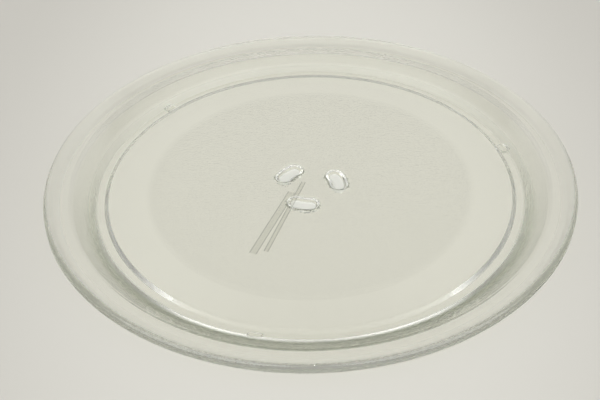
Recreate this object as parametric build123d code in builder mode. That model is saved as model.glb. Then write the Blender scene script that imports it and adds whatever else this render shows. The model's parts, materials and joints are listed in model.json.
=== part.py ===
from build123d import *
from math import degrees
import os

# Microwave turntable plate: one piece of clear pressed glass, standing on its foot ring, rim up.
# Millimetres, +Z up, origin on the axis of rotation at the level of the three foot pads.

# Overall round form
plate_diameter = 245.0
base_thickness = 5.5

# Rim, on the food side: a sloped wall, then a gently climbing land that ends in a rounded edge
wall_run = 7.3             # radial run of the sloped wall
wall_rise = 3.8
land_width = 11.2          # radial width of the land
land_rise = 2.1            # how far the land climbs towards the edge
edge_height = 4.3          # upright edge, before its roundings
well_fillet = 14.0         # hollow corner between base and wall
crease_fillet = 0.8        # soft crease between wall and land
edge_top_fillet = 2.2
edge_low_fillet = 1.2

# Rim, underneath: it thins out to a lip at the edge
lip_width = 5.0            # radial width of the thinning
lip_rise = 1.7
lip_fillet = 5.0

# Foot ring under the base, which also keeps the roller ring centred
foot_height = 2.7
foot_inset = 4.4           # from the foot of the wall in to the outer edge of the foot's flat
foot_width = 3.95          # flat underside of the foot ring
foot_inner_run = 1.8       # radial run of its inner side
foot_outer_run = 11.2      # radial run of its outer side, which goes on as the underside of the wall
foot_outer_rise = 7.2
foot_fillet = 0.3
foot_outer_fillet = 0.4
under_rim_fillet = 1.5     # hollow corner between wall and land, underneath

# Pads that the foot ring stands on
pad_count = 3
pad_height = 1.3
pad_radial = 3.6
pad_tangential = 6.0
pad_inset = 1.2            # pad centres from the outer edge of the foot's flat
pad_overlap = 1.0          # pads run up into the sloped outer side of the foot
pad_corner = 1.4           # rounding of the pad's outline
pad_fillet = 0.4           # rounding of its lower edge

# Lugs that the drive coupler turns the plate by
lug_count = 3
lug_pitch_diameter = 27.4
lug_length = 14.2          # along the pitch circle, end to end
lug_width = 7.2
lug_clearance = 0.3        # lug tips above the surface that the pads stand on
lug_draft = 10.0           # degrees, so that the lug narrows towards its tip
lug_tip_fillet = 2.8       # well rounded, so that the lug slides into the coupler
lug_root_fillet = 0.4
lug_angle = 16.0           # first lug and first pad, degrees from +X

# Levels, from the pads up
foot_level = pad_height
under_level = foot_level + foot_height
base_level = under_level + base_thickness
crease_level = base_level + wall_rise
rim_level = crease_level + land_rise
edge_low_level = rim_level - edge_height

# Radii, from the edge in
rim_radius = plate_diameter / 2
land_radius = rim_radius - land_width
base_radius = land_radius - wall_run
foot_outer_radius = base_radius - foot_inset
foot_inner_radius = foot_outer_radius - foot_width
track_radius = foot_inner_radius - foot_inner_run
pad_radius = foot_outer_radius - pad_inset
lug_radius = lug_pitch_diameter / 2
lug_span = degrees((lug_length - lug_width) / lug_radius)   # arc between the centres of its round ends

# Corners of the section, as radius and level
track_corner = (track_radius, under_level)
foot_inner_corner = (foot_inner_radius, foot_level)
foot_outer_corner = (foot_outer_radius, foot_level)
under_rim_corner = (foot_outer_radius + foot_outer_run, foot_level + foot_outer_rise)
lip_corner = (rim_radius - lip_width, edge_low_level - lip_rise)
edge_low_corner = (rim_radius, edge_low_level)
edge_high_corner = (rim_radius, rim_level)
crease_corner = (land_radius, crease_level)
well_corner = (base_radius, base_level)

corner_fillets = (
    (track_corner, foot_fillet),
    (foot_inner_corner, foot_fillet),
    (foot_outer_corner, foot_outer_fillet),
    (under_rim_corner, under_rim_fillet),
    (lip_corner, lip_fillet),
    (edge_low_corner, edge_low_fillet),
    (edge_high_corner, edge_top_fillet),
    (crease_corner, crease_fillet),
    (well_corner, well_fillet),
)

with BuildPart() as plate:
    # Round form: its section, turned about the axis
    with BuildSketch(Plane.XZ) as section:
        with BuildLine():
            Polyline(
                (0, under_level),
                track_corner,
                foot_inner_corner,
                foot_outer_corner,
                under_rim_corner,
                lip_corner,
                edge_low_corner,
                edge_high_corner,
                crease_corner,
                well_corner,
                (0, base_level),
                close=True,
            )
        make_face()
        for corner, radius in corner_fillets:
            fillet(section.vertices().sort_by_distance(corner)[0], radius)
    revolve(axis=Axis.Z)

    # Drive lugs: curved along the pitch circle, wider at the root
    with BuildSketch(Plane.XY.offset(lug_clearance)):
        with PolarLocations(0, lug_count, start_angle=lug_angle):
            SlotArc(Edge.make_circle(lug_radius, start_angle=-lug_span / 2, end_angle=lug_span / 2), lug_width)
    extrude(amount=under_level - lug_clearance, taper=-lug_draft)
    lug_edges = plate.edges(Select.LAST).group_by(Axis.Z)
    fillet(lug_edges[-1], lug_root_fillet)
    fillet(lug_edges[0], lug_tip_fillet)

    # Foot pads, in line with the lugs
    with BuildSketch():
        with PolarLocations(pad_radius, pad_count, start_angle=lug_angle):
            RectangleRounded(pad_radial, pad_tangential, pad_corner)
    extrude(amount=pad_height + pad_overlap)
    fillet(plate.edges(Select.LAST).group_by(Axis.Z)[0], pad_fillet)

plate.part.label = "turntable_plate"
os.makedirs("parts", exist_ok=True)
export_step(plate.part, "parts/turntable_plate.step")
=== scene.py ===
import bpy
import json
import math
from mathutils import Matrix, Vector


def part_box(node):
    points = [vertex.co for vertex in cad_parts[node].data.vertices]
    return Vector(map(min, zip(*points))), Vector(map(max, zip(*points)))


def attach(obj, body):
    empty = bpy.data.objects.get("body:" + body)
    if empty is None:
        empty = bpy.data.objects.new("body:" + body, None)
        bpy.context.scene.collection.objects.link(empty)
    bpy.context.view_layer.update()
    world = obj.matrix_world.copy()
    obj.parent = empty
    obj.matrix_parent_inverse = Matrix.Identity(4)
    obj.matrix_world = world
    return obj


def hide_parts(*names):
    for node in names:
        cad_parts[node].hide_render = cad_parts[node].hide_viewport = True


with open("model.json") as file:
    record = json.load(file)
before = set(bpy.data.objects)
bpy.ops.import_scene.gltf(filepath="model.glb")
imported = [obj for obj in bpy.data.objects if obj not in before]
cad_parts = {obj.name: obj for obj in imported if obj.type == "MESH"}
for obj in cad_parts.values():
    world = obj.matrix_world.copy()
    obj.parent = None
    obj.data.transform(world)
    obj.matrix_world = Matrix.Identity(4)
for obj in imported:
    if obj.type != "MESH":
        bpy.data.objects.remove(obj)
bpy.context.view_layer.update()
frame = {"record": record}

mm = 0.001
plateNode = "turntable_plate"
fullTurn = 2 * math.pi


class Wire:
    # a node's output that can be added, multiplied and so on, with other wires or with numbers
    def __init__(self, tree, socket=None):
        self.tree = tree
        self.socket = socket

    # adds any node: settings first, then values, links or lists of links for its inputs
    def node(self, kind, settings=None, inputs=None, output=0):
        made = self.tree.nodes.new(kind)
        for name, value in (settings or {}).items():
            if name == "stops":
                ramp = made.color_ramp.elements
                while len(ramp) > 1:
                    ramp.remove(ramp[0])
                for index, (place, shade) in enumerate(value):
                    stop = ramp[0] if index == 0 else ramp.new(place)
                    stop.position = place
                    stop.color = shade
            else:
                setattr(made, name, value)
        for name, value in (inputs or {}).items():
            for part in value if isinstance(value, list) else [value]:
                if isinstance(part, Wire):
                    self.tree.links.new(part.socket, made.inputs[name])
                else:
                    made.inputs[name].default_value = part
        return Wire(self.tree, made.outputs[output])

    def out(self, name):   # another output of the same node
        return Wire(self.tree, self.socket.node.outputs[name])

    def into(self, node, name):
        self.tree.links.new(self.socket, node.inputs[name])

    def maths(self, operation, *others):   # this wire comes first
        return self.node("ShaderNodeMath", {"operation": operation}, dict(enumerate((self,) + others)))

    def reflected(self, operation, first):   # this wire comes second
        return self.node("ShaderNodeMath", {"operation": operation}, {0: first, 1: self})

    def between(self, low, high):   # 0 below low, 1 above high, straight in between
        return self.node("ShaderNodeMapRange", {}, {"Value": self, "From Min": low, "From Max": high})

    def colours(self, first, second):   # first where this wire is 0, second where it is 1
        return self.node("ShaderNodeMix", {"data_type": "RGBA"}, {0: self, 6: first, 7: second}, 2)

    def __add__(self, other):
        return self.maths("ADD", other)

    def __radd__(self, other):
        return self.reflected("ADD", other)

    def __sub__(self, other):
        return self.maths("SUBTRACT", other)

    def __rsub__(self, other):
        return self.reflected("SUBTRACT", other)

    def __mul__(self, other):
        return self.maths("MULTIPLY", other)

    def __rmul__(self, other):
        return self.reflected("MULTIPLY", other)

    def __truediv__(self, other):
        return self.maths("DIVIDE", other)

    def __rtruediv__(self, other):
        return self.reflected("DIVIDE", other)

    def __pow__(self, other):
        return self.maths("POWER", other)

    def __rpow__(self, other):
        return self.reflected("POWER", other)

    def __abs__(self):
        return self.maths("ABSOLUTE")


def addObject(name, mesh):
    made = bpy.data.objects.new(name, mesh)
    bpy.context.collection.objects.link(made)
    return made


# Plate: a section turned about its axis, with a stippled middle underneath
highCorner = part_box(plateNode)[1]
mounts = {mount["name"]: mount for mount in frame["record"]["mounts"]}
padPlace = mounts["foot_pads"]["pos_m"]

plateForm = {
    "rimRadius": highCorner[0],
    "underLevel": mounts["roller_track"]["pos_m"][2],
    "baseThickness": 5.5 * mm,
    "baseRadius": 104.0 * mm,       # foot of the sloped wall, on the food side
    "wallRun": 7.3 * mm,
    "wallRise": 3.8 * mm,
    "landRise": 2.1 * mm,
    "edgeHeight": 4.3 * mm,
    "lipWidth": 4.2 * mm,           # the rim thins out underneath, 0.8 mm nearer its edge than in the solid
    "lipRise": 1.7 * mm,
    "footLevel": 1.3 * mm,          # foot ring above the table; the pads make up the rest
    "footOuterRadius": 99.6 * mm,
    "footInnerRadius": 95.65 * mm,
    "footInnerRun": 1.8 * mm,
    "footOuterRun": 11.2 * mm,
    "footOuterRise": 7.2 * mm,
    "wellRounding": 14.0 * mm,
    "creaseRounding": 0.8 * mm,
    "edgeHighRounding": 2.2 * mm,
    "edgeLowRounding": 1.2 * mm,
    "lipRounding": 5.0 * mm,
    "footRounding": 0.3 * mm,
    "footOuterRounding": 0.4 * mm,
    "underRimRounding": 1.5 * mm,
    "guardGap": 0.5 * mm,           # extra ring beside each rounding, so that flats stay flat
    "longestRun": 1.4 * mm,         # ring spacing under the rim, where the glass is pebbled
    "arcSteps": 9,
    "stippleRadius": 77.4 * mm,
    "stipplePitch": 1.9 * mm,
    "stippleDepth": 0.06 * mm,
    "stippleFade": (0.1, 1.2),      # in pitches, from the edge of the stippled disc inwards
    "discCorners": 9,               # the disc is a fan of triangles,
    "discLevels": 6,                # split this many times
    "pebbleSize": 3.2 * mm,
    "pebbleDepth": 0.02 * mm,
    "pebbleFacing": (0.1, 0.4),     # how far down a face looks before it is pebbled
    "weldGap": 0.01 * mm,
}

lugForm = {
    "count": 3,
    "angle": math.atan2(padPlace[1], padPlace[0]),
    "pitchRadius": 13.7 * mm,
    "length": 14.2 * mm,
    "width": 7.2 * mm,
    "tipLevel": 0.3 * mm,
    "draft": math.radians(10),
    "tipRounding": 2.8 * mm,
    "rootRounding": 0.4 * mm,
}

padForm = {
    "radius": math.hypot(padPlace[0], padPlace[1]),
    "radial": 3.6 * mm,
    "tangential": 6.0 * mm,
    "corner": 1.4 * mm,
    "rounding": 0.4 * mm,
}


# corners of the section from the stippled disc out, round the edge and back to the axis
def sectionCorners(form):
    underLevel = form["underLevel"]
    footLevel = form["footLevel"]
    baseLevel = underLevel + form["baseThickness"]
    creaseLevel = baseLevel + form["wallRise"]
    rimLevel = creaseLevel + form["landRise"]
    edgeLevel = rimLevel - form["edgeHeight"]
    rimRadius = form["rimRadius"]
    footOuter = form["footOuterRadius"]
    footInner = form["footInnerRadius"]
    return [
        (form["stippleRadius"], underLevel, 0),
        (footInner - form["footInnerRun"], underLevel, form["footRounding"]),
        (footInner, footLevel, form["footRounding"]),
        (footOuter, footLevel, form["footOuterRounding"]),
        (footOuter + form["footOuterRun"], footLevel + form["footOuterRise"], form["underRimRounding"]),
        (rimRadius - form["lipWidth"], edgeLevel - form["lipRise"], form["lipRounding"]),
        (rimRadius, edgeLevel, form["edgeLowRounding"]),
        (rimRadius, rimLevel, form["edgeHighRounding"]),
        (form["baseRadius"] + form["wallRun"], creaseLevel, form["creaseRounding"]),
        (form["baseRadius"], baseLevel, form["wellRounding"]),
        (0, baseLevel, 0),
    ]


# adds guard points beside each rounding, and splits the runs under the rim
def sectionPoints(form):
    corners = sectionCorners(form)
    spots = [Vector((radius, level)) for radius, level, rounding in corners]
    roundings = [rounding for radius, level, rounding in corners]
    guard = form["guardGap"]
    reach = [0.0] * len(corners)
    for index in range(1, len(corners) - 1):
        turn = (spots[index] - spots[index - 1]).angle(spots[index + 1] - spots[index])
        reach[index] = roundings[index] * math.tan(turn / 2)
    points = []
    for index in range(len(corners) - 1):
        points.append((spots[index], roundings[index]))
        run = spots[index + 1] - spots[index]
        first = reach[index] + guard if roundings[index] else 0
        last = run.length - (reach[index + 1] + guard if roundings[index + 1] else 0)
        if last - first < guard:
            continue
        pebbled = spots[index].x >= form["footOuterRadius"] and spots[index + 1].x > spots[index].x
        parts = max(1, math.ceil((last - first) / form["longestRun"])) if pebbled else 1
        for part in range(parts + 1):
            along = first + (last - first) * part / parts
            if 0 < along < run.length:
                points.append((spots[index] + run.normalized() * along, 0.0))
    points.append((spots[-1], roundings[-1]))
    return points


def makeSection(form):
    points = sectionPoints(form)
    mesh = bpy.data.meshes.new("plateSection")
    mesh.from_pydata(
        [(spot.x, 0, spot.y) for spot, rounding in points],
        [(index, index + 1) for index in range(len(points) - 1)],
        [],
    )
    roundings = mesh.attributes.new("rounding", "FLOAT", "POINT")
    roundings.data.foreach_set("value", [rounding for spot, rounding in points])
    return addObject("turntablePlate", mesh)


# closed block from outlines that shrink or grow with height: steps are (level, growth)
def makeBlock(name, outline, steps):
    rings = [[(x, y, level) for x, y in outline(growth)] for level, growth in steps]
    count = len(rings[0])
    top = count * (len(rings) - 1)
    faces = [tuple(reversed(range(count))), tuple(range(top, top + count))]
    for low in range(0, top, count):
        for spot in range(count):
            beside = (spot + 1) % count
            faces.append((low + spot, low + beside, low + count + beside, low + count + spot))
    mesh = bpy.data.meshes.new(name)
    mesh.from_pydata([point for ring in rings for point in ring], [], faces)
    return addObject(name, mesh)


# bean outline: an arc on the pitch circle, as wide as the lug, with round ends
def lugOutline(form, growth, arcSteps=14, endSteps=10):
    radius = form["pitchRadius"]
    half = form["width"] / 2 + growth
    span = (form["length"] - form["width"]) / 2 / radius
    points = []
    for step in range(arcSteps + 1):
        angle = span * (2 * step / arcSteps - 1)
        points.append(((radius + half) * math.cos(angle), (radius + half) * math.sin(angle)))
    for side in (1, -1):
        for step in range(1, endSteps):
            angle = side * span + math.pi * step / endSteps + (0 if side > 0 else math.pi)
            points.append((radius * math.cos(span) + half * math.cos(angle),
                           side * radius * math.sin(span) + half * math.sin(angle)))
        if side > 0:
            for step in range(arcSteps + 1):
                angle = span * (1 - 2 * step / arcSteps)
                points.append(((radius - half) * math.cos(angle), (radius - half) * math.sin(angle)))
    return points


def lugSteps(form, underLevel, arcSteps=10, overlap=0.7 * mm):
    draft = form["draft"]
    tip, tipRounding, rootRounding = form["tipLevel"], form["tipRounding"], form["rootRounding"]
    upright = math.pi / 2 - draft
    lean = math.tan(upright / 2)
    steps = []
    for step in range(arcSteps + 1):   # rounded tip
        angle = upright * step / arcSteps
        steps.append((tip + tipRounding * (1 - math.cos(angle)), tipRounding * (math.sin(angle) - lean)))
    rootGrowth = (underLevel - tip) * math.tan(draft)
    for step in range(arcSteps):       # hollow corner at the root, left a little short of level
        angle = upright * (1 - step / arcSteps)
        steps.append((underLevel - rootRounding * (1 - math.cos(angle)),
                      rootGrowth + rootRounding * (lean - math.sin(angle))))
    steps.append((underLevel + overlap, steps[-1][1]))
    return steps


def padOutline(form, growth, cornerSteps=6):
    corner = form["corner"] + growth
    across = form["radial"] / 2 - form["corner"]
    along = form["tangential"] / 2 - form["corner"]
    points = []
    for quarter in range(4):
        signX = 1 if quarter in (0, 3) else -1
        signY = 1 if quarter < 2 else -1
        for step in range(cornerSteps + 1):
            angle = (quarter + step / cornerSteps) * math.pi / 2
            points.append((form["radius"] + signX * across + corner * math.cos(angle),
                           signY * along + corner * math.sin(angle)))
    return points


def padSteps(form, footLevel, arcSteps=5, overlap=1.5 * mm):
    rounding = form["rounding"]
    steps = []
    for step in range(arcSteps + 1):
        angle = math.pi / 2 * step / arcSteps
        steps.append((rounding * (1 - math.cos(angle)), rounding * (math.sin(angle) - 1)))
    steps.append((footLevel + overlap, 0.0))
    return steps


# Geometry Nodes: the pieces of the plate's tree, each from the group's inputs
def polarPlace(start, reach, bearing, level):
    return start.node("ShaderNodeCombineXYZ", {}, {
        "X": reach * bearing.maths("COSINE"),
        "Y": reach * bearing.maths("SINE"),
        "Z": level,
    })


def axisGap(start):   # distance from the axis
    place = start.node("GeometryNodeInputPosition")
    axes = start.node("ShaderNodeSeparateXYZ", {}, {0: place})
    return (axes.out("X") * axes.out("X") + axes.out("Y") * axes.out("Y")) ** 0.5


# section with rounded corners, turned about the axis ring by ring
def turnSection(start, given, slack=1e-4):
    curve = start.node("GeometryNodeMeshToCurve", {}, {"Mesh": given.out("Section")})
    rounding = start.node("GeometryNodeInputNamedAttribute", {"data_type": "FLOAT"}, {"Name": "rounding"})
    curve = start.node("GeometryNodeFilletCurve", {"mode": "POLY"},
                       {"Curve": curve, "Count": given.out("Arc Steps"), "Radius": rounding})
    rings = start.node("GeometryNodeAttributeDomainSize", {"component": "CURVE"},
                       {"Geometry": curve}, "Point Count")
    segments = given.out("Segments")
    spokes = segments + 1
    sheet = start.node("GeometryNodeMeshGrid", {}, {"Vertices X": rings, "Vertices Y": spokes})
    index = start.node("GeometryNodeInputIndex")
    ring = (index / spokes + slack).maths("FLOOR")   # slack keeps a whole number from falling short
    spoke = index - ring * spokes
    place = start.node("GeometryNodeInputPosition")
    spot = start.node("GeometryNodeSampleIndex", {"data_type": "FLOAT_VECTOR", "domain": "POINT"},
                      {"Geometry": curve, "Value": place, "Index": ring})
    spot = start.node("ShaderNodeSeparateXYZ", {}, {0: spot})
    turned = polarPlace(start, spot.out("X"), spoke / segments * fullTurn, spot.out("Z"))
    body = start.node("GeometryNodeSetPosition", {}, {"Geometry": sheet, "Position": turned})
    return start.node("GeometryNodeFlipFaces", {}, {"Mesh": body})


# even lattice for the stippled disc: a fan of triangles, split and pulled out to a circle
def layDisc(start, given, slack=1e-5, leastDepth=1e-9):
    corners = given.out("Disc Corners")
    fan = start.node("GeometryNodeMeshCircle", {"fill_type": "TRIANGLE_FAN"},
                     {"Vertices": corners, "Radius": 1.0})
    lattice = start.node("GeometryNodeSubdivideMesh", {}, {"Mesh": fan, "Level": given.out("Disc Levels")})
    place = start.node("GeometryNodeInputPosition")
    flat = start.node("ShaderNodeSeparateXYZ", {}, {0: place})
    x, y = flat.out("X"), flat.out("Y")
    sector = fullTurn / corners
    bearing = y.maths("ARCTAN2", x) + fullTurn
    number = (bearing / sector + slack).maths("FLOOR")
    middle = (number + 0.5) * sector   # bearing of the middle of a fan triangle
    depth = x * middle.maths("COSINE") + y * middle.maths("SINE")
    aside = y * middle.maths("COSINE") - x * middle.maths("SINE")
    share = aside / (depth + leastDepth) / (sector / 2).maths("TANGENT")
    reach = depth / (sector / 2).maths("COSINE") * given.out("Stipple Radius")
    rounded = polarPlace(start, reach, middle + share * sector / 2, given.out("Under Level"))
    disc = start.node("GeometryNodeSetPosition", {}, {"Geometry": lattice, "Position": rounded})
    return start.node("GeometryNodeFlipFaces", {}, {"Mesh": disc})


# stipple: small rounded grains pressed into the underside
def pressStipple(start, given, disc, fade):
    pitch = given.out("Stipple Pitch")
    place = start.node("GeometryNodeInputPosition")
    grains = start.node("ShaderNodeTexVoronoi", {"feature": "F1"},
                        {"Vector": place, "Scale": 1.0 / pitch, "Randomness": 0.9}, "Distance")
    edge = ((given.out("Stipple Radius") - axisGap(start)) / pitch).between(*fade)
    sink = start.node("ShaderNodeCombineXYZ", {}, {"Z": grains * edge * given.out("Stipple Depth")})
    return start.node("GeometryNodeSetPosition", {}, {"Geometry": disc, "Offset": sink})


# pebbled skin under the rim, as the mould left it
def pebbleRim(start, given, whole, facingDown):
    size = given.out("Pebble Size")
    place = start.node("GeometryNodeInputPosition")
    pebble = start.node("ShaderNodeTexNoise", {"noise_dimensions": "3D"},
                        {"Vector": place, "Scale": 1.0 / size, "Detail": 1.0}, "Fac")
    normal = start.node("GeometryNodeInputNormal")
    facing = start.node("ShaderNodeSeparateXYZ", {}, {0: normal}, "Z")
    outer = ((axisGap(start) - given.out("Pebble Radius")) / size).between(0.0, 1.0)
    amount = (pebble - 0.5) * outer * (0 - facing).between(*facingDown) * given.out("Pebble Depth")
    lift = start.node("ShaderNodeVectorMath", {"operation": "SCALE"}, {0: normal, "Scale": amount})
    return start.node("GeometryNodeSetPosition", {}, {"Geometry": whole, "Offset": lift})


# lugs and pads, evenly round the axis, fused with the plate
def fuseBlocks(start, given, whole):
    count = given.out("Lug Count")
    turns = start.node("GeometryNodeMeshLine", {}, {"Count": count, "Offset": (0, 0, 0)})
    index = start.node("GeometryNodeInputIndex")
    turn = start.node("ShaderNodeCombineXYZ", {}, {"Z": given.out("Lug Angle") + index * fullTurn / count})
    fused = [whole]
    for name in ("Lug", "Pad"):
        block = start.node("GeometryNodeObjectInfo", {}, {"Object": given.out(name)}, "Geometry")
        copies = start.node("GeometryNodeInstanceOnPoints", {},
                            {"Points": turns, "Instance": block, "Rotation": turn})
        fused.append(start.node("GeometryNodeRealizeInstances", {}, {"Geometry": copies}))
    return start.node("GeometryNodeMeshBoolean", {"operation": "UNION", "solver": "MANIFOLD"},
                      {"Mesh 2": fused})


def buildPlateTree(form):
    tree = bpy.data.node_groups.new("pressedPlate", "GeometryNodeTree")
    tree.interface.new_socket("Geometry", in_out="OUTPUT", socket_type="NodeSocketGeometry")
    inputs = (
        ("Section", "Geometry"), ("Segments", "Int"), ("Arc Steps", "Int"), ("Under Level", "Float"),
        ("Disc Corners", "Int"), ("Disc Levels", "Int"), ("Stipple Radius", "Float"),
        ("Stipple Pitch", "Float"), ("Stipple Depth", "Float"), ("Pebble Radius", "Float"),
        ("Pebble Size", "Float"), ("Pebble Depth", "Float"), ("Weld Gap", "Float"), ("Lug", "Object"),
        ("Pad", "Object"), ("Lug Count", "Int"), ("Lug Angle", "Float"), ("Glass", "Material"),
    )
    for name, kind in inputs:
        tree.interface.new_socket(name, in_out="INPUT", socket_type="NodeSocket" + kind)
    start = Wire(tree)
    given = start.node("NodeGroupInput")
    body = turnSection(start, given)
    disc = pressStipple(start, given, layDisc(start, given), form["stippleFade"])
    whole = start.node("GeometryNodeJoinGeometry", {}, {"Geometry": [disc, body]})
    whole = start.node("GeometryNodeMergeByDistance", {},
                       {"Geometry": whole, "Distance": given.out("Weld Gap")})
    whole = pebbleRim(start, given, whole, form["pebbleFacing"])
    whole = fuseBlocks(start, given, whole)
    whole = start.node("GeometryNodeSetShadeSmooth", {}, {"Geometry": whole, "Shade Smooth": True})
    whole = start.node("GeometryNodeRealizeInstances", {}, {"Geometry": whole})
    whole = start.node("GeometryNodeSetMaterial", {}, {"Geometry": whole, "Material": given.out("Glass")})
    result = tree.nodes.new("NodeGroupOutput")
    whole.into(result, "Geometry")
    return tree


def runTree(target, tree, values):
    modifier = target.modifiers.new(tree.name, "NODES")
    modifier.node_group = tree
    for item in tree.interface.items_tree:
        if item.in_out == "INPUT" and item.name in values:
            modifier[item.identifier] = values[item.name]
    graph = bpy.context.evaluated_depsgraph_get()
    mesh = bpy.data.meshes.new_from_object(target.evaluated_get(graph))
    target.modifiers.remove(modifier)
    target.data = mesh
    return target


# Pressed glass: clear, faintly warm, stippled in the middle, grainy towards the rim; its colour carries
# painted shade and a painted highlight
glassLook = {
    "tint": (0.985, 0.985, 0.945, 1),
    "refraction": 1.52,
    "absorbColour": (0.78, 0.80, 0.72, 1),
    "absorbDensity": 15.0,
    "lampColour": (0.995, 0.995, 0.985, 1),   # what passes of the lamps' light
    "smoothRoughness": 0.01,
    "stippleRoughness": 0.12,
    "rimRoughness": 0.25,           # under the rim, from the foot ring out
    "hollowRoughness": 0.32,        # lowest part of the wall, where the mould is worn
    "lipRoughness": 0.45,
    "grainSize": 0.8 * mm,
    "grainHeight": 0.09 * mm,
    "grainPastWall": 0.4,           # share of the grain's height that goes on from the wall to the edge
    "stippleSize": 1.3 * mm,
    "stippleHeight": 0.10 * mm,
    # painted shade: darkens the stippled disc for the light its grains scatter away from the table beneath,
    # which leaves the smooth lugs brighter
    "stippleTint": (0.915, 0.915, 0.872, 1),
    # painted shadow: darkens the glass over the sloped wall for the shadow the rim casts on the table
    # beneath
    "wallTint": (0.88, 0.885, 0.835, 1),
    "streakTint": (0.75, 0.75, 0.69, 1),
    "streakEdgeTint": (0.42, 0.42, 0.38, 1),
    "streakEdgeHalf": 0.35 * mm,
    "streaks": (                    # start, end and width of the two darker streaks on the top side
        ((-8.3 * mm, -8.2 * mm), (-25.5 * mm, -50.6 * mm), 3.0 * mm),
        ((-2.7 * mm, -0.8 * mm), (-19.8 * mm, -49.5 * mm), 1.7 * mm),
    ),
    "frostColour": (0.82, 0.82, 0.81, 1),     # painted highlight: white matte layer on the lug tips for the light the lugs gather and reflect
    "frostRoughness": 0.5,
    "frostShare": 0.75,
    "frostRadius": 30.0 * mm,
    "frostLevel": 0.9 * mm,
    "fades": {                      # where each finish starts and where it is full
        "topSide": (-0.4 * mm, -0.2 * mm),    # up from the food side
        "underside": (0.0, 0.3 * mm),         # down from the middle of the glass
        "lugs": (0.3 * mm, 0.5 * mm),         # down from the underside of the base
        "stipple": (0.0, 4.0 * mm),           # in from the edge of the stippled disc
        "outer": (-1.0 * mm, -0.4 * mm),      # out from the foot ring's outer corner
        "hollow": (-4.5 * mm, -2.0 * mm),     # in towards that corner
        "lip": (-3.0 * mm, 0.0),              # out towards the lip
        "wall": (-0.5 * mm, 1.0 * mm),        # in from the crease between wall and land
        "streakEnd": (0.0, 0.5 * mm),
        "streakSide": (-0.1 * mm, 0.1 * mm),
        "streakEdge": (0.0, 0.2 * mm),
        "frostDepth": (0.0, 0.4 * mm),
        "frostReach": (0.0, 1.0 * mm),
    },
}


# the two darker streaks, inside and along their edges, as seen from above
def streakMasks(look, x, y):
    fades = look["fades"]
    insides, edges = 0, 0
    for (fromX, fromY), (toX, toY), width in look["streaks"]:
        length = math.hypot(toX - fromX, toY - fromY)
        alongX, alongY = (toX - fromX) / length, (toY - fromY) / length
        along = (x - fromX) * alongX + (y - fromY) * alongY
        across = abs((x - fromX) * alongY - (y - fromY) * alongX)
        within = along.between(*fades["streakEnd"]) * (length - along).between(*fades["streakEnd"])
        inside = (width / 2 - across).between(*fades["streakSide"]) * within
        edge = (look["streakEdgeHalf"] - abs(across - width / 2)).between(*fades["streakEdge"]) * within
        insides = inside.maths("MAXIMUM", insides)
        edges = edge.maths("MAXIMUM", edges)
    return insides, edges


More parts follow.
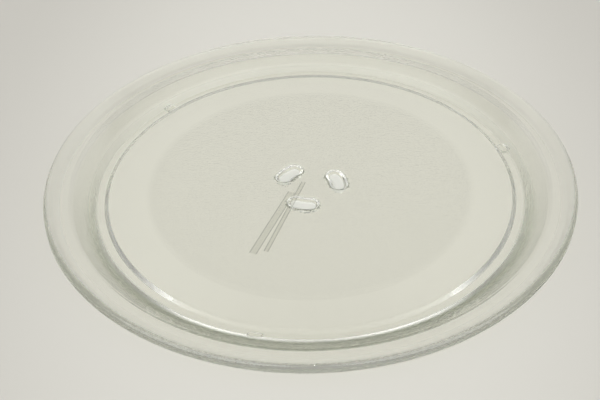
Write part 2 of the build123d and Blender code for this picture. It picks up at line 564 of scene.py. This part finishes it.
def makePressedGlass(look, form):
    material = bpy.data.materials.new("pressedGlass")
    material.use_nodes = True
    tree = material.node_tree
    tree.nodes.clear()
    start = Wire(tree)
    place = start.node("ShaderNodeTexCoord", output="Object")
    axes = start.node("ShaderNodeSeparateXYZ", {}, {0: place})
    x, y, z = axes.out("X"), axes.out("Y"), axes.out("Z")
    radius = (x * x + y * y) ** 0.5
    fades = look["fades"]

    # level halfway through the glass, which climbs from the base to the rim
    baseLevel = form["underLevel"] + form["baseThickness"]
    baseMiddle = form["underLevel"] + form["baseThickness"] / 2
    rimMiddle = baseLevel + form["wallRise"] + form["landRise"] - form["edgeHeight"] / 2
    middle = baseMiddle + radius.between(form["baseRadius"], form["rimRadius"]) * (rimMiddle - baseMiddle)

    # where each finish is, and where shade and highlight are painted
    topSide = (z - baseLevel).between(*fades["topSide"])
    underside = (middle - z).between(*fades["underside"])
    lugs = (form["underLevel"] - z).between(*fades["lugs"])
    stipple = (form["stippleRadius"] - radius).between(*fades["stipple"]) * underside * (1 - lugs)
    outer = (radius - form["footOuterRadius"]).between(*fades["outer"]) * underside
    hollow = outer * (form["footOuterRadius"] - radius).between(*fades["hollow"])
    lip = outer * (radius - form["rimRadius"] + form["lipWidth"]).between(*fades["lip"])
    wall = outer * (form["baseRadius"] + form["wallRun"] - radius).between(*fades["wall"])
    streak, streakEdge = [mask * topSide for mask in streakMasks(look, x, y)]
    # painted highlight: the lower part of the lugs, near the axis
    lugHighlight = (look["frostLevel"] - z).between(*fades["frostDepth"])
    lugHighlight = lugHighlight * (look["frostRadius"] - radius).between(*fades["frostReach"])

    roughness = look["smoothRoughness"]
    for amount, finish in ((stipple, "stippleRoughness"), (outer, "rimRoughness"),
                           (hollow, "hollowRoughness"), (lip, "lipRoughness")):
        roughness = roughness + amount * (look[finish] - roughness)

    # base colour: faint warm tint, painted shade on the stippled disc, painted shadow under the wall, and
    # the two darker streaks
    tint = look["tint"]
    for amount, shade in ((stipple, "stippleTint"), (wall, "wallTint"),
                          (streak, "streakTint"), (streakEdge, "streakEdgeTint")):
        tint = amount.colours(tint, look[shade])

    grain = start.node("ShaderNodeTexNoise", {},
                       {"Vector": place, "Scale": 1 / look["grainSize"], "Detail": 2.0}, "Fac")
    dots = start.node("ShaderNodeTexVoronoi", {"feature": "F1"},
                      {"Vector": place, "Scale": 1 / look["stippleSize"], "Randomness": 0.7}, "Distance")
    onward = look["grainPastWall"]
    height = grain * outer * (wall * (1 - onward) + onward) * look["grainHeight"]
    height = height + dots * stipple * look["stippleHeight"]
    bump = start.node("ShaderNodeBump", {}, {"Height": height, "Distance": 1.0, "Strength": 1.0})

    glass = start.node("ShaderNodeBsdfPrincipled", {}, {
        "Base Color": tint, "Roughness": roughness, "Normal": bump,
        "IOR": look["refraction"], "Transmission Weight": 1.0,
    })
    # painted highlight: a white matte shader mixed onto the lug tips
    lugHighlightShader = start.node("ShaderNodeBsdfPrincipled", {},
                       {"Base Color": look["frostColour"], "Roughness": look["frostRoughness"]})
    glass = start.node("ShaderNodeMixShader", {}, {0: lugHighlight * look["frostShare"], 1: glass, 2: lugHighlightShader})

    # light on its way to the floor goes straight through
    lampPass = start.node("ShaderNodeBsdfTransparent", {}, {"Color": look["lampColour"]})
    rays = start.node("ShaderNodeLightPath")
    passing = rays.out("Is Shadow Ray").maths("MAXIMUM", rays.out("Is Diffuse Ray"))
    surface = start.node("ShaderNodeMixShader", {}, {0: passing, 1: glass, 2: lampPass})
    volume = start.node("ShaderNodeVolumeAbsorption", {},
                        {"Color": look["absorbColour"], "Density": look["absorbDensity"]})
    output = tree.nodes.new("ShaderNodeOutputMaterial")
    surface.into(output, "Surface")
    volume.into(output, "Volume")
    return material


glass = makePressedGlass(glassLook, plateForm)
print("glass mixed")
plate = makeSection(plateForm)
lug = makeBlock("driveLug", lambda growth: lugOutline(lugForm, growth),
                lugSteps(lugForm, plateForm["underLevel"]))
pad = makeBlock("footPad", lambda growth: padOutline(padForm, growth),
                padSteps(padForm, plateForm["footLevel"]))
plateTree = buildPlateTree(plateForm)
runTree(plate, plateTree, {
    "Segments": plateForm["discCorners"] * 2 ** plateForm["discLevels"],
    "Arc Steps": plateForm["arcSteps"],
    "Under Level": plateForm["underLevel"],
    "Disc Corners": plateForm["discCorners"],
    "Disc Levels": plateForm["discLevels"],
    "Stipple Radius": plateForm["stippleRadius"],
    "Stipple Pitch": plateForm["stipplePitch"],
    "Stipple Depth": plateForm["stippleDepth"],
    "Pebble Radius": plateForm["footOuterRadius"],
    "Pebble Size": plateForm["pebbleSize"],
    "Pebble Depth": plateForm["pebbleDepth"],
    "Weld Gap": plateForm["weldGap"],
    "Lug": lug,
    "Pad": pad,
    "Lug Count": lugForm["count"],
    "Lug Angle": lugForm["angle"],
    "Glass": glass,
})
for block in (lug, pad):
    bpy.data.objects.remove(block)
print("plate:", len(plate.data.vertices), "points,", len(plate.data.polygons), "faces")

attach(plate, "root")
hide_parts(plateNode)


# Floor: one pale sheet, a hair below the pads, with a pool of light painted into its colour round the plate
floorLook = {
    "colour": (0.705, 0.692, 0.635, 1),
    "farColour": (0.57, 0.555, 0.508, 1),   # painted shade: the sheet is painted darker away from the plate
    "fadeReach": (0.06, 0.20),
    "fadeLength": 2.2,                      # the painted pool of light is this much longer from front to back
    "roughness": 0.8,
    "shine": 0.1,
    "halfSize": 4.0,
    "gap": 0.05 * mm,
}


def makeFloor(look):
    half, low = look["halfSize"], -look["gap"]
    corners = [(-half, -half, low), (half, -half, low), (half, half, low), (-half, half, low)]
    mesh = bpy.data.meshes.new("paleFloor")
    mesh.from_pydata(corners, [], [(0, 1, 2, 3)])
    floor = addObject("paleFloor", mesh)
    material = bpy.data.materials.new("palePaper")
    material.use_nodes = True
    paper = material.node_tree.nodes["Principled BSDF"]
    start = Wire(material.node_tree)
    place = start.node("ShaderNodeTexCoord", output="Object")
    axes = start.node("ShaderNodeSeparateXYZ", {}, {0: place})
    # painted pool of light: the colour darkens with distance from the plate, more slowly front to back
    ahead = axes.out("Y") / look["fadeLength"]
    reach = (axes.out("X") * axes.out("X") + ahead * ahead) ** 0.5
    near, far = look["fadeReach"]
    fade = start.node("ShaderNodeMapRange", {"interpolation_type": "SMOOTHSTEP"},
                      {"Value": reach, "From Min": near, "From Max": far})
    fade.colours(look["colour"], look["farColour"]).into(paper, "Base Color")
    paper.inputs["Roughness"].default_value = look["roughness"]
    paper.inputs["Specular IOR Level"].default_value = look["shine"]
    mesh.materials.append(material)
    return floor


makeFloor(floorLook)
print("floor laid")


# Light: two softboxes in front, a pale backdrop behind, a weak front fill and one small lamp for glints
lightSetup = {
    "softboxAxis": (0.56, -0.44, 0.70),   # towards one of the two softboxes, left and right
    "softbox": ((-1.0, 0.018), (0.78, 0.018), (0.86, 0.4), (0.91, 1.0), (1.0, 1.0)),
    "backdrop": (                         # height of a direction, and how bright it is there
        (-1.0, 0.0), (0.0, 0.08), (0.45, 0.24), (0.55, 0.34),
        (0.63, 0.37), (0.69, 0.36), (0.715, 0.24), (0.735, 0.0),
    ),
    "backdropSide": (0.35, 0.60),         # how far the backdrop reaches round to the sides
    "frontFill": 0.13,
    "frontFillAxis": (-0.707, 0.707),     # forwards and up
    "frontFillEdge": (0.55, 0.85),
    "domeStrength": 2.42,
    "lampPlace": (0.0, -0.5, 1.4),
    "lampSize": 0.06,
    "lampPower": 0.5,
}


def rampPlace(level):   # from -1 to 1, as directions go, to 0 to 1, as a ramp does
    return level * 0.5 + 0.5


def greyStops(levels):
    return [(rampPlace(level), (bright, bright, bright, 1)) for level, bright in levels]


def makeLight(setup):
    world = bpy.data.worlds.new("softDome")
    world.use_nodes = True
    bpy.context.scene.world = world
    start = Wire(world.node_tree)
    direction = start.node("ShaderNodeTexCoord", output="Generated")
    axes = start.node("ShaderNodeSeparateXYZ", {}, {0: direction})
    x, y, z = axes.out("X"), axes.out("Y"), axes.out("Z")
    aside, ahead, above = setup["softboxAxis"]
    towards = abs(x) * aside + y * ahead + z * above
    dome = start.node("ShaderNodeValToRGB", {"stops": greyStops(setup["softbox"])}, {0: rampPlace(towards)})
    backdrop = start.node("ShaderNodeValToRGB", {"stops": greyStops(setup["backdrop"])}, {0: rampPlace(z)})
    backdrop = backdrop * y.between(*setup["backdropSide"])
    ahead, above = setup["frontFillAxis"]
    front = (y * ahead + z * above).between(*setup["frontFillEdge"]) * setup["frontFill"]
    shade = dome.maths("MAXIMUM", backdrop).maths("MAXIMUM", front)
    sky = world.node_tree.nodes["Background"]
    sky.inputs["Strength"].default_value = setup["domeStrength"]
    shade.into(sky, "Color")
    lamp = bpy.data.lights.new("glintLamp", "AREA")
    lamp.shape = "DISK"
    lamp.size = setup["lampSize"]
    lamp.energy = setup["lampPower"]
    holder = addObject("glintLamp", lamp)
    holder.location = setup["lampPlace"]
    holder.rotation_euler = (-holder.location).to_track_quat("-Z", "Y").to_euler()


makeLight(lightSetup)
print("light set")


# Camera: where the photograph was taken from
cameraView = {
    "distance": 539.0 * mm,       # from the aim, a point on the plate's axis
    "elevation": math.radians(38.3),
    "roll": math.radians(1.35),   # lifts the right side of the picture
    "focalPixels": 1150.0,
    "pictureSize": (600, 400),
    "axisPixel": (309.7, 185.3),  # where the aim shows in the picture
    "aimBelowBase": 2.9 * mm,
    "sensor": 36.0,
    "clipStart": 0.01,
}


def makeCamera(view, form):
    camera = bpy.data.cameras.new("camera")
    holder = addObject("camera", camera)
    width, height = view["pictureSize"]
    camera.sensor_width = view["sensor"]
    camera.lens = view["focalPixels"] / width * view["sensor"]
    camera.clip_start = view["clipStart"]
    rise, turn = view["elevation"], view["roll"]
    aim = Vector((0, 0, form["underLevel"] + form["baseThickness"] - view["aimBelowBase"]))
    back = Vector((0, -math.cos(rise), math.sin(rise)))
    holder.location = aim + back * view["distance"]
    upright = Vector((0, math.sin(rise), math.cos(rise)))
    right = Vector((math.cos(turn), 0, 0)) - upright * math.sin(turn)
    above = Vector((math.sin(turn), 0, 0)) + upright * math.cos(turn)
    asideX = (view["axisPixel"][0] - width / 2) / view["focalPixels"]
    asideY = (height / 2 - view["axisPixel"][1]) / view["focalPixels"]
    # turned so that the aim shows at its pixel
    back = (back + right * asideX + above * asideY).normalized()
    right = (right - back * right.dot(back)).normalized()
    above = back.cross(right)
    matrix = Matrix((right, above, back)).transposed().to_4x4()
    matrix.translation = holder.location
    holder.matrix_world = matrix
    return holder


scene = bpy.context.scene
scene.camera = makeCamera(cameraView, plateForm)
scene.view_settings.view_transform = "Standard"
scene.cycles.max_bounces = 48            # light crosses many faces inside the glass
scene.cycles.transmission_bounces = 48
scene.cycles.glossy_bounces = 32
print("camera placed")
